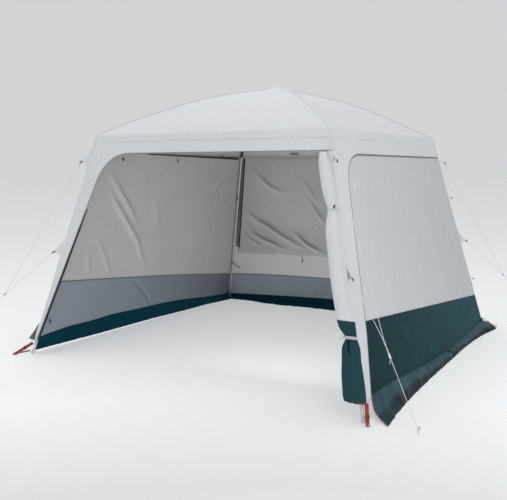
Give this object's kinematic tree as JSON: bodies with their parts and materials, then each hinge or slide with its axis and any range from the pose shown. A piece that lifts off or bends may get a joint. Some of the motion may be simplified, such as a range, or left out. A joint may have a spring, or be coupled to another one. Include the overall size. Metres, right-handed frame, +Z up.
{
  "type": "camping gazebo",
  "caption": "Square camping gazebo: domed cloth roof on leaning tube legs, three closed walls, a rolled door, guy lines and pegs.",
  "frame": {"origin": "at ground level, under the crown, midway between the four feet", "axes": "+X runs along the open front from left to right, +Y runs from the front to the rear, +Z is up"},
  "size_m": [4.0408, 4.0408, 2.2221],
  "materials": {
    "leg_steel": "satin",
    "arch_steel": "satin",
    "joint_plastic": "matte",
    "roof_cloth": "coated polyester",
    "wall_cloth": "coated polyester",
    "teal_cloth": "coated polyester",
    "flap_cloth": "coated polyester",
    "window_cloth": "wrinkled thin cloth",
    "guy_cord": "braided",
    "peg_steel": "galvanised",
    "strap_webbing": "woven webbing"
  },
  "bodies": {
    "root": {"leg_pole_front_left": "leg_steel", "leg_pole_front_right": "leg_steel", "leg_pole_rear_right": "leg_steel", "leg_pole_rear_left": "leg_steel", "corner_joint_front_left": "joint_plastic", "corner_joint_front_right": "joint_plastic", "corner_joint_rear_right": "joint_plastic", "corner_joint_rear_left": "joint_plastic", "roof_arch_front_left": "arch_steel", "roof_arch_front_right": "arch_steel", "roof_arch_rear_right": "arch_steel", "roof_arch_rear_left": "arch_steel", "crown_hub": "joint_plastic", "roof_front": "roof_cloth", "roof_right": "roof_cloth", "roof_rear": "roof_cloth", "roof_left": "roof_cloth", "front_surround": "roof_cloth", "right_surround": "roof_cloth", "rear_surround": "roof_cloth", "left_surround": "roof_cloth", "right_wall_upper": "wall_cloth", "right_wall_lower": "teal_cloth", "rear_wall_upper": "wall_cloth", "rear_wall_lower": "teal_cloth", "rear_window_curtain": "window_cloth", "left_wall_upper": "wall_cloth", "left_wall_lower": "teal_cloth", "right_ground_flap": "flap_cloth", "rear_ground_flap": "flap_cloth", "left_ground_flap": "flap_cloth", "rolled_door_upper": "wall_cloth", "rolled_door_lower": "teal_cloth", "guy_line_front_left": "guy_cord", "guy_line_front_right": "guy_cord", "guy_line_rear_right": "guy_cord", "guy_line_rear_left": "guy_cord", "guy_peg_front_left": "peg_steel", "guy_peg_front_right": "peg_steel", "guy_peg_rear_right": "peg_steel", "guy_peg_rear_left": "peg_steel", "corner_strap_front_left": "strap_webbing", "corner_strap_front_right": "strap_webbing", "corner_strap_rear_right": "strap_webbing", "corner_strap_rear_left": "strap_webbing"}
  },
  "joints": []
}
